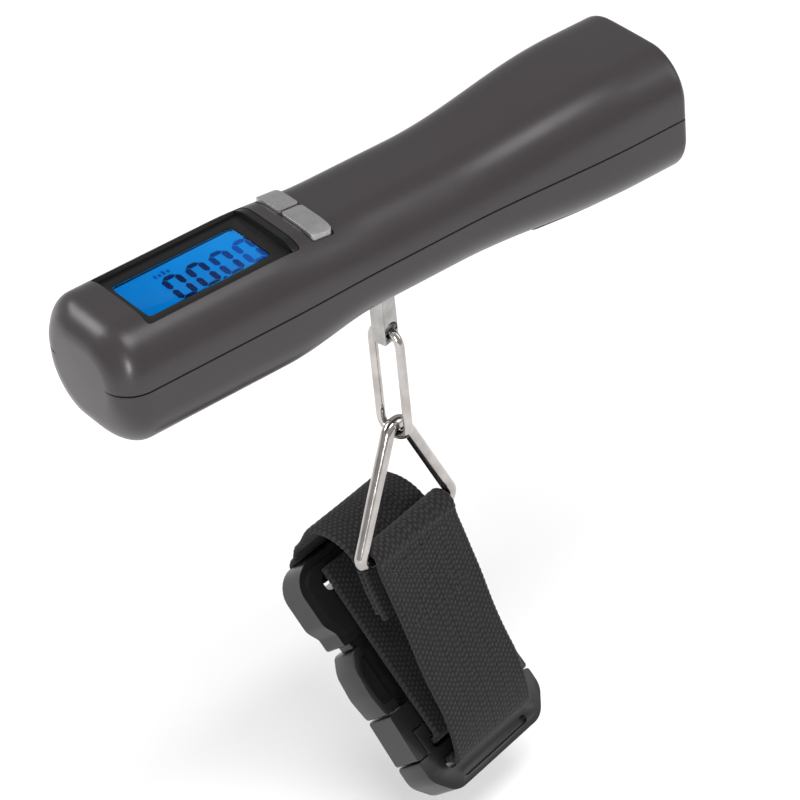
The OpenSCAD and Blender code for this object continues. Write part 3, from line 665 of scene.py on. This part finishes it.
def stroke(a, b, width):
    """Segment of a digit between two points, with pointed ends."""
    a, b = Vector(a), Vector(b)
    d = (b - a).normalized()
    s = Vector((-d.y, d.x)) * width / 2
    a, b = a + d * 0.12, b - d * 0.12
    t = d * width / 2
    return [tuple(p) for p in (a, a + t + s, b - t + s, b, b - t - s, a + t - s)]


def digit(x, y, on, lean=0.04):
    """Seven strokes numbered from the top, clockwise, with the middle last."""
    w, h = DIGIT_W - STROKE, DIGIT_H - STROKE
    c = {"a": (0, h), "b": (w, h), "c": (w, h / 2), "d": (w, 0), "e": (0, 0), "f": (0, h / 2)}
    lines = [("a", "b"), ("b", "c"), ("c", "d"), ("d", "e"), ("e", "f"), ("f", "a"), ("f", "c")]
    place = {k: (x + STROKE / 2 + v[0] + lean * v[1], y + STROKE / 2 + v[1]) for k, v in c.items()}
    return [stroke(place[lines[i][0]], place[lines[i][1]], STROKE) for i in on]


ZERO = (0, 1, 2, 3, 4, 5)
digit_y = win_lo[1] + 0.65
first_x = win_lo[0] + 0.285 * (win_hi[0] - win_lo[0])
STEP = 5.55
# Painted reflection: the four digits get lighter from left to right.
TONES_LIGHTER_BY_PAINTED_REFLECTION = ((0.0, 0.006, 0.04), (0.0, 0.008, 0.05), (0.0, 0.018, 0.1), (0.0, 0.035, 0.19))
for i, tone in enumerate(TONES_LIGHTER_BY_PAINTED_REFLECTION):
    shapes = digit(first_x + i * STEP, digit_y, ZERO)
    if i == 1:
        px = first_x + 2 * STEP - 0.75
        shapes.append(rect(px - 0.35, px + 0.45, digit_y + 0.1, digit_y + 0.9, 0.1))
    ob = join("digit_%d" % i, [prism("s", s, *INK_Z) for s in shapes])
    finish_piece(ob, segment_material("segment_%d" % i, tone), "handle")
# Small unit marks above the digits
mark_x, mark_y = first_x + 0.3, digit_y + DIGIT_H + 0.7
marks = [rect(mark_x + 1.0 * i, mark_x + 0.6 + 1.0 * i, mark_y, mark_y + h, 0.1) for i, h in
         enumerate((1.1, 0.8, 1.4, 1.0))]
ob = join("unit_marks", [prism("s", s, *INK_Z) for s in marks])
finish_piece(ob, segment_material("segment_marks", (0.0, 0.03, 0.16)), "handle")

# ---- Keys ----

KEY_PROUD, KEY_GAP = 0.7, 0.12
for name, node, body, y0, y1 in (("key_unit", "unit_button", "unit_key", key_y[0], key_y[1]),
                                 ("key_zero", "zero_button", "zero_key", key_y[2], key_y[3])):
    key = whole(-KEY_PROUD, key_x[0] - 4, key_x[1] + 4, 24)
    plan = rect(key_x[0] + KEY_GAP, key_x[1] - KEY_GAP, y0 + KEY_GAP, y1 - KEY_GAP, 0.8)
    boolean(key, [prism("tool", plan, KEY_FOOT, 25)], "INTERSECT")
    bevel(key, 0.35, 4, 40)
    key.name = key.data.name = name
    finish_piece(smooth(key, 40), key_mat, body, [node])

# ---- Post, link and ring ----

post_lo, post_hi = mm_box("suspension_post")
EYE = joints["link_swing"]["pos_m"][2] / MM
POST_W, POST_T, POST_L, NECK_R = 4.4, 3.6, 15.0, 2.0
post_top = post_lo[2] + POST_L
bar = prism("bar", rounded([(-POST_W / 2, -POST_T / 2), (POST_W / 2, -POST_T / 2), (POST_W / 2, POST_T / 2),
                            (-POST_W / 2, POST_T / 2)], 0.35, 4), post_lo[2], post_top, POST)
boolean(bar, [turned_cylinder(1.65, -5, 5, 0, EYE, POST)])
bevel(bar, 0.3, 3, 40)
neck = lathe("neck", [(NECK_R - 0.3, post_top - 0.5), (NECK_R, post_top - 0.45), (NECK_R, post_hi[2] - 0.4),
                      (NECK_R - 0.4, post_hi[2])], matrix=POST)
post = join("post_bar", [bar, neck])
finish_piece(smooth(post), steel_mat, "post", ["suspension_post"])

bore_r, foot, head = NECK_R + 0.1, collar_lo[2], collar_hi[2]
collar = lathe("collar_tube", [
    (bore_r, head), (COLLAR_R, head), (COLLAR_R, foot + 1.1), (COLLAR_R - 0.1, foot + 0.6),
    (COLLAR_R - 0.45, foot + 0.2), (COLLAR_R - 1, foot), (NECK_R + 0.4, foot), (bore_r, foot + 0.3),
    (bore_r, head)])
finish_piece(smooth(collar), collar_mat, "handle", ["post_collar"])

LINK_W, LINK_WIRE = 9.4, 2.0
link_bottom = mm_box("chain_link")[0][2] + LINK_WIRE / 2
bend_r = (LINK_W - LINK_WIRE) / 2
link_path = arc(0, EYE - bend_r, bend_r, 0, 180, 24) + [
    (-bend_r, 0, z) for z in np.linspace(EYE - bend_r, link_bottom + bend_r, 14)[1:-1]] + arc(
    0, link_bottom + bend_r, bend_r, 180, 360, 24) + [
    (bend_r, 0, z) for z in np.linspace(link_bottom + bend_r, EYE - bend_r, 14)[1:-1]]
LINK = POST @ Matrix.Rotation(math.pi / 2, 4, "Z")
link = tube("link_wire", link_path, LINK_WIRE / 2, True, LINK)
finish_piece(smooth(link, 60), chrome_mat, "link", ["chain_link"])

WEB_W, WEB_T = 25.0, 1.4
RING_H, RING_WIRE, RING_PLAY = 29.4, 3.0, 0.3
APEX_R, BASE_R = 3.0, RING_WIRE / 2 + 0.4
base_mid = WEB_W / 2 + RING_PLAY
apex_mid = RING_H - APEX_R
half_apex = math.degrees(math.atan2(base_mid, apex_mid - BASE_R)
                         + math.asin((BASE_R - APEX_R) / math.hypot(base_mid, apex_mid - BASE_R)))


def wire_line(a, b, n=16):
    return [tuple(Vector(a).lerp(Vector(b), i / n)) for i in range(1, n)]


ring_path = []
for part in (arc(base_mid, BASE_R, BASE_R, -90, half_apex, 16),
             arc(0, apex_mid, APEX_R, half_apex, 180 - half_apex, 20),
             arc(-base_mid, BASE_R, BASE_R, 180 - half_apex, 270, 16)):
    if ring_path:
        ring_path += wire_line(ring_path[-1], part[0])
    ring_path += part
ring_path += wire_line(ring_path[-1], ring_path[0])
ring = tube("ring_wire", ring_path, RING_WIRE / 2, True, SLING)
finish_piece(smooth(ring, 60), chrome_mat, "ring", ["triangle_ring"])

# ---- Webbing ----

TICK, COLUMN = 1.3, 0.95
YARN_SLIP = rng.uniform(-0.2, 0.2, 40)


def path_points(path, step):
    """Smooth curve through the points, at an even spacing."""
    p = np.array(path, float)
    p = np.vstack([2 * p[0] - p[1], p, 2 * p[-1] - p[-2]])
    out = []
    for i in range(1, len(p) - 2):
        n = max(2, int(np.linalg.norm(p[i + 1] - p[i]) / 0.05))
        t = np.linspace(0, 1, n, endpoint=False)[:, None]
        a, b, c, d = p[i - 1], p[i], p[i + 1], p[i + 2]
        bend, twist = 2 * a - 5 * b + 4 * c - d, 3 * b - a - 3 * c + d
        out.append(0.5 * (2 * b + (c - a) * t + bend * t**2 + twist * t**3))
    out = np.vstack(out + [p[-2][None]])
    k = np.ones(15) / 15
    mid = np.stack([np.convolve(np.pad(out[:, j], 7, "edge"), k, "valid") for j in (0, 1)], 1)
    mid[0], mid[-1] = out[0], out[-1]
    s = np.concatenate([[0], np.cumsum(np.linalg.norm(np.diff(mid, axis=0), axis=1))])
    n = int(s[-1] / step) + 1
    at = np.linspace(0, s[-1], n)
    return np.stack([np.interp(at, s, mid[:, j]) for j in (0, 1)], 1), at


def normals_of(p):
    d = np.gradient(p, axis=0)
    d /= np.linalg.norm(d, axis=1)[:, None]
    return np.stack([-d[:, 1], d[:, 0]], 1)


def weave(s, u):
    """Columns of short ticks along the strap, each column half a tick on, from 0 in the grooves to 1."""
    col = np.floor(u / COLUMN)
    s = s + YARN_SLIP[col.astype(int) % len(YARN_SLIP)]
    across_tick = np.sin(np.pi * (u / COLUMN - col)) ** 0.7
    along_tick = 0.5 + 0.5 * np.cos(2 * np.pi * (s / TICK + 0.5 * (col % 2)))
    return across_tick * along_tick**0.6


def webbing(name, path, width, body, node, wave=0.25, shift=None):
    p, s = path_points(path, 0.32)
    nrm = normals_of(p)
    cols = 89
    u = np.linspace(-width / 2, width / 2, cols)
    edge = np.clip((np.abs(u) - (width / 2 - 0.7)) / 0.7, 0, 1)
    half = WEB_T / 2 * np.sqrt(np.clip(1 - (0.94 * edge) ** 2, 0, 1))
    S, U = np.meshgrid(s, u, indexing="ij")
    W = weave(S, U)
    knob = 0.2 * np.abs(np.sin(np.pi * S / TICK)) * edge * np.sign(U)
    phase = rng.uniform(0, 6, 4)
    low = wave * (0.5 * np.sin(S / 9 + phase[0]) * np.sin(U / 7 + phase[1]) + 0.5 * np.sin(S / 17 + phase[2]))
    ends = np.clip(np.minimum(S, s[-1] - S) / 6, 0, 1)
    rows = []
    for side in (1, -1):
        off = side * (half[None, :] + 0.16 * (W - 0.75) * (1 - edge)) + low * ends
        y = p[:, 0][:, None] + nrm[:, 0][:, None] * off
        z = p[:, 1][:, None] + nrm[:, 1][:, None] * off
        x = U + knob + (shift(S) if shift else 0)
        rows.append(np.stack([x, y, z], 2))
    top, bottom = rows[0], rows[1][:, ::-1]
    grid = np.concatenate([top, bottom], 1)
    height = np.concatenate([W, W[:, ::-1]], 1)
    place = np.concatenate([np.stack([S, U, 0 * S], 2), np.stack([S, U, 0 * S + 3], 2)[:, ::-1]], 1)
    verts, faces = rings(grid.tolist())
    me_faces = faces[:-2]
    n = grid.shape[1]
    m = grid.shape[0]
    for base in (0, (m - 1) * n):
        for j in range(cols - 1):
            me_faces.append((base + j, base + j + 1, base + n - 2 - j, base + n - 1 - j))
    ob = mesh_object(name, verts, me_faces, SLING)
    a = ob.data.attributes.new("weave", "FLOAT", "POINT")
    a.data.foreach_set("value", height.reshape(-1).astype(np.float32))
    a = ob.data.attributes.new("strap_place", "FLOAT_VECTOR", "POINT")
    a.data.foreach_set("vector", place.reshape(-1).astype(np.float32))
    for f in ob.data.polygons:
        f.use_smooth = True
    finish_piece(ob, webbing_mat, body, [node])
    return p, s, nrm


def turned(c, r, a0, a1, steps):
    return [(c[0] + r * math.cos(math.radians(a0 + (a1 - a0) * i / steps)),
             c[1] + r * math.sin(math.radians(a0 + (a1 - a0) * i / steps))) for i in range(steps + 1)]


tilt = math.degrees(math.atan2(along_buckle.z, along_buckle.dot(UP.cross(across))))
HALF_T, BUCKLE_L, BUCKLE_W = 4.3, 60.0, 38.0
SLOT_A, SLOT_B = (4.8, 7.9), (10.4, 13.5)
slot_a, slot_b = sum(SLOT_A) / 2, sum(SLOT_B) / 2
bar_v = (SLOT_A[1] + SLOT_B[0]) / 2
LOOP_R = RING_WIRE / 2 + 0.45 + WEB_T / 2
TAIL_W = HALF_T + 0.9 + WEB_T / 2
END_SLOT = (BUCKLE_L - 8, BUCKLE_L - 4.6)
end_mid = (END_SLOT[1] + BUCKLE_L) / 2
END_WRAP = (BUCKLE_L - END_SLOT[1]) / 2 + 0.25 + WEB_T / 2
SEWN = 15

front_path = [(-2.6, -SEWN), (0.4, -8)] + turned((0, 0), LOOP_R, -15, 195, 14) + [
    (-5.6, -10), (-9.6, -18), (-14, -27), (-17.4, -35), (-19.3, -41)] + [
    on_buckle(slot_a - 0.6, HALF_T + 3), on_buckle(slot_a, HALF_T), on_buckle(slot_a, -0.6)] + turned(
    on_buckle(bar_v, -HALF_T + 2), (slot_b - slot_a) / 2, 180 + tilt, 360 + tilt, 8) + [
    on_buckle(slot_b, -0.6), on_buckle(slot_b, HALF_T - 1), on_buckle(slot_b + 0.9, TAIL_W - 0.6),
    on_buckle(slot_b + 2.4, TAIL_W)] + [on_buckle(v, TAIL_W) for v in (24, 32, 42, 50, BUCKLE_L - 3)]
rear_path = [(WEB_T - 2, -SEWN + 0.5), (WEB_T + 0.8, -8.5), (WEB_T + 2.9, -2.6), (WEB_T + 5.2, -0.2),
             (10, 1.2), (13.6, 1.3), (17.2, 0.1)] + [
    on_buckle(BUCKLE_L + 3.8, 3.8), on_buckle(BUCKLE_L + 3.1, 1), on_buckle(BUCKLE_L + 1.9, -0.8)] + turned(
    on_buckle(end_mid, -HALF_T + 2.1), END_WRAP, tilt, tilt - 180, 10) + [
    on_buckle(end_mid - END_WRAP, HALF_T - 1.6)]

SWAY, SWAY_FROM, SWAY_L = 0.5, 27, 34


def sway(at):
    """Sideways drift of the front strap between the ring and the buckle."""
    return SWAY * np.sin(np.clip((at - SWAY_FROM) / SWAY_L, 0, 1) * 2 * np.pi)


front_p, front_s, front_n = webbing("strap_front", front_path, WEB_W, "sling", "sling_webbing",
                                    0.45, sway)
webbing("strap_rear", rear_path, WEB_W - 0.6, "sling", "rear_webbing", 0.2)


def stitches(name, p, s, nrm, side, lines, pitch=2.4):
    """Rows of thread on one face of a strap; each line is two places (along, across)."""
    obs_v, obs_f = [], []
    for (s0, u0), (s1, u1) in lines:
        length = math.hypot(s1 - s0, u1 - u0)
        for k in range(int(length / pitch)):
            a, b = (k + 0.12) * pitch / length, (k + 0.88) * pitch / length
            rows = []
            for i in range(7):
                f = i / 6
                t = a + (b - a) * f
                sc, uc = s0 + (s1 - s0) * t, u0 + (u1 - u0) * t
                y = np.interp(sc, s, p[:, 0])
                z = np.interp(sc, s, p[:, 1])
                ny, nz = np.interp(sc, s, nrm[:, 0]), np.interp(sc, s, nrm[:, 1])
                lift = side * (WEB_T / 2 - 0.05 + 0.16 * math.sin(math.pi * f))
                r = 0.2 * (0.35 + 0.65 * math.sin(math.pi * f) ** 0.5)
                d = np.array([(u1 - u0) / length, (s1 - s0) / length])
                row = []
                for q in range(8):
                    ca, sa = math.cos(q * math.pi / 4) * r, math.sin(q * math.pi / 4) * r
                    du, ds = -d[1] * ca, d[0] * ca
                    ty, tz = -nz, ny
                    up = lift + side * sa
                    row.append((uc + du, y + ny * up - ty * ds, z + nz * up - tz * ds))
                rows.append(row)
            v, f = rings(rows)
            base = len(obs_v)
            obs_v += v
            obs_f += [tuple(base + i for i in face) for face in f]
    ob = mesh_object(name, obs_v, obs_f, SLING)
    for f in ob.data.polygons:
        f.use_smooth = True
    return finish_piece(ob, thread_mat, "sling")


# Stitched square with its diagonals
NEAR, FAR, EDGE = 27, 41, WEB_W / 2 - 2
stitches("stitching_front", front_p, front_s, front_n, -1, [
    ((NEAR, -EDGE), (NEAR, EDGE)), ((FAR, -EDGE), (FAR, EDGE)), ((NEAR, -EDGE), (FAR, -EDGE)),
    ((NEAR, EDGE), (FAR, EDGE)), ((NEAR, -EDGE), (FAR, EDGE)), ((NEAR, EDGE), (FAR, -EDGE))])

# ---- Buckle ----

HB = BUCKLE_W / 2
CHEEK, MOUTH, WIN_FROM, WIN_TO = 10.8, 17.0, 22.5, 40.4
LOBE_IN, HOOK_U, PAD_L = HB - 3, HB - 3.8, 16.0
CHEEK_IN = HB - 3.2
SLOT_HALF = WEB_W / 2 + 0.8


def slab(outline, z0, z1):
    return prism("slab", outline, z0, z1, BUCKLE)


def plate(x0, x1, y0, y1, t, r=0.5):
    return slab(rect(x0, x1, y0, y1, r), -t / 2, t / 2)


body = slab(rounded([(-HB, CHEEK - 0.3), (-HB, 5.5), (-14.6, 0), (14.6, 0), (HB, 5.5), (HB, CHEEK - 0.3)],
                    [0.8, 5, 5, 5, 5, 0.8]), -HALF_T, HALF_T)
boolean(body, [plate(-CHEEK_IN + 0.3, CHEEK_IN - 0.3, CHEEK - 1.2, MOUTH - 0.4, 2 * HALF_T - 0.2)], "UNION")
boolean(body, [plate(-1.8, 1.8, MOUTH - 1.5, WIN_FROM + 8, 3.9, 1)], "UNION")
boolean(body, [
    plate(-SLOT_HALF, SLOT_HALF, SLOT_A[0], SLOT_A[1], 20, 1.2),
    plate(-SLOT_HALF, SLOT_HALF, SLOT_B[0], SLOT_B[1], 20, 1.2),
    slab(rect(-SLOT_HALF, SLOT_HALF, SLOT_A[1] - 0.6, SLOT_B[0] + 0.6, 0.1), -HALF_T - 5, -HALF_T + 2.2),
    slab(rect(-11, 11, 1.35, 3.25, 0.95), HALF_T - 1.3, HALF_T + 5),
    slab(rect(-11, 11, 1.35, 3.25, 0.95), -HALF_T - 5, -HALF_T + 1.0),
])
body.name = body.data.name = "buckle_male"
finish_piece(smooth(bevel(body, 0.55, 3, 40), 40), buckle_mat, "sling", ["buckle_frame"])

LOBE_V = WIN_TO + 3.4
lobe = rounded([(-HB + 1.6, WIN_TO), (-HB + 1.6, LOBE_V), (-HB, LOBE_V + 3), (-HB, BUCKLE_L), (HB, BUCKLE_L),
                (HB, LOBE_V + 3), (HB - 1.6, LOBE_V), (HB - 1.6, WIN_TO)], [0.8, 2, 4, 6, 6, 4, 2, 0.8], 9)
lobe_in = rounded([(-HB + 3.4, WIN_TO + 1.6), (-HB + 3.4, LOBE_V), (-HB + 1.8, LOBE_V + 3.4),
                   (-HB + 1.8, BUCKLE_L - 1.7), (HB - 1.8, BUCKLE_L - 1.7), (HB - 1.8, LOBE_V + 3.4),
                   (HB - 3.4, LOBE_V), (HB - 3.4, WIN_TO + 1.6)],
                  [0.8, 2, 3, 4.6, 4.6, 3, 2, 0.8], 9)
socket = slab(lobe, -HALF_T + 0.7, HALF_T - 0.7)
boolean(socket, [slab(lobe_in, -HALF_T, HALF_T)], "UNION")
cheeks = slab(rounded([(-HB, CHEEK), (HB, CHEEK), (HB - 0.5, WIN_FROM), (-HB + 0.5, WIN_FROM)], 0.7),
              -HALF_T, HALF_T)
boolean(socket, [cheeks], "UNION")
boolean(socket, [plate(-8.6, 8.6, WIN_FROM - 1.5, WIN_TO + 2, 2 * HALF_T - 0.5)], "UNION")
boolean(socket, [
    plate(-CHEEK_IN, CHEEK_IN, CHEEK - 1, MOUTH, 20, 0.3),
    plate(-CHEEK_IN, CHEEK_IN, MOUTH - 1, WIN_TO, 5, 0.3),
    plate(-LOBE_IN, LOBE_IN, WIN_TO - 1, END_SLOT[0] - 1.8, 5, 0.3),
    plate(-SLOT_HALF, SLOT_HALF, END_SLOT[0], END_SLOT[1], 20, 1.2),
    slab(rect(-SLOT_HALF, SLOT_HALF, END_SLOT[1] - 0.6, BUCKLE_L + 3, 0.1), -HALF_T - 5, -HALF_T + 1.6),
    slab(rect(-6.4, 6.4, WIN_FROM + 1.5, WIN_TO - 1, 2), HALF_T - 0.75, HALF_T + 5),
    slab(rect(-6.4, 6.4, WIN_FROM + 1.5, WIN_TO - 1, 2), -HALF_T - 5, -HALF_T + 0.75),
])
socket.name = socket.data.name = "buckle_female"
finish_piece(smooth(bevel(socket, 0.4, 3, 40), 40), buckle_mat, "sling", ["buckle_socket"])

ARM_U, ARM_R, ARM_T, PAD_T = 9.4, 1.3, 4.5, 7.8
for sign, name, node, body_name in ((1, "tab_right", "release_arm_right", "arm_right"),
                                    (-1, "tab_left", "release_arm_left", "arm_left")):
    def flip(pts):
        return [(sign * x, y) for x, y in pts]

    root = slab(flip(rounded([(ARM_U - ARM_R, ROOT_V - ARM_R), (ARM_U + ARM_R, ROOT_V - ARM_R),
                              (ARM_U + ARM_R, WIN_FROM + 1), (HOOK_U, WIN_FROM + 1.2),
                              (HOOK_U, WIN_TO + 3.4), (ARM_U - 0.9, WIN_TO + 3.4), (ARM_U - 0.9, WIN_FROM + 2)],
                             [1.25, 1.25, 1, 1, 1, 1, 1])), -ARM_T / 2, ARM_T / 2)
    pad_line = [(CHEEK_IN - 1.4, 0), (HB - 0.3, 0), (HB + 0.45, PAD_L * 0.38), (HB - 0.2, PAD_L * 0.76),
                (HB - 2.4, PAD_L - 0.2), (CHEEK_IN - 1.4, PAD_L - 0.2)]
    pad_line = [(x, y + WIN_FROM + 0.45) for x, y in pad_line]
    pad = slab(flip(rounded(pad_line, [0.4, 1, 6, 6, 1.5, 0.4])), -PAD_T / 2, PAD_T / 2)
    boolean(pad, [root], "UNION")
    inner = [(CHEEK_IN - 3, 2.2), (HB - 1.5, 2.2), (HB - 1.1, 6), (HB - 1.6, 10.5), (HB - 3.4, 13.6),
             (CHEEK_IN - 3, 13.6)]
    inner = [(x, y + WIN_FROM + 0.45) for x, y in inner]
    for z0, z1 in ((PAD_T / 2 - 0.9, 9), (-9, 0.9 - PAD_T / 2)):
        boolean(pad, [slab(flip(rounded(inner, 0.8)), z0, z1)])
    pad.name = pad.data.name = name
    finish_piece(smooth(bevel(pad, 0.3, 3, 40), 40), buckle_mat, body_name, [node])

# ---- Carried-over CAD pieces ----

for nodes, mat in (
    (("backlight",), light_mat), (("circuit_board",), board_mat), (("tact_switches", "post_washer"), alloy_mat),
    (("load_cell",), alloy_mat), (("strain_gauges",), film_mat), (("cell_anchor",), bracket_mat),
    (("cell_screws", "case_screws", "post_nut"), screw_mat), (("battery_tray",), collar_mat),
    (("coin_battery",), cell_mat), (("battery_spring", "battery_clip"), brass_mat), (("wiring",), lead_mat),
):
    for node in nodes:
        me = frame["nodes"][node].data
        me.materials.clear()
        me.materials.append(mat)

# ---- Floor and light ----

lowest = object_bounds()[0][2]


def floor_object():
    """Floor of n by n squares a little below the part."""
    n, size, gap = 24, 4000, 12
    z = lowest / MM - gap
    verts = [((i / n - 0.5) * size, (j / n - 0.5) * size, z) for i in range(n + 1) for j in range(n + 1)]
    faces = [(i * (n + 1) + j, (i + 1) * (n + 1) + j, (i + 1) * (n + 1) + j + 1, i * (n + 1) + j + 1)
             for i in range(n) for j in range(n)]
    return mesh_object("floor", verts, faces)


floor = floor_object()
m = Mat("floor_card", Roughness=0.9, Specular_IOR_Level=0.1)
floor.data.materials.append(m.set(Base_Color=m.mix(m.noise(3, 2), (0.93, 0.93, 0.93), (0.95, 0.95, 0.95))))


def area_light(name, where, target, size, power, colour=(1, 1, 1)):
    data = bpy.data.lights.new(name, "AREA")
    data.shape = "RECTANGLE"
    data.size, data.size_y = size
    data.energy = power
    data.color = colour
    ob = bpy.data.objects.new(name, data)
    ob.location = where
    ob.rotation_euler = (Vector(target) - Vector(where)).to_track_quat("-Z", "Y").to_euler()
    bpy.context.scene.collection.objects.link(ob)


centre = (0, 0, -0.03)
area_light("key_light", (0.0, -0.36, 0.95), centre, (0.8, 0.4), 7)
area_light("side_light", (0.75, -0.5, 0.45), centre, (0.35, 0.6), 1.6)
area_light("back_light", (-0.5, 0.65, 0.6), centre, (0.6, 0.3), 4.5)
area_light("nose_light", (-0.8, -0.66, 0.2), (-0.06, 0, 0), (0.12, 0.3), 4.5)
world = bpy.data.worlds.new("studio")
world.use_nodes = True
world.node_tree.nodes["Background"].inputs["Color"].default_value = (1, 1, 1, 1)
world.node_tree.nodes["Background"].inputs["Strength"].default_value = 0.47
bpy.context.scene.world = world
bpy.context.scene.view_settings.view_transform = "Standard"
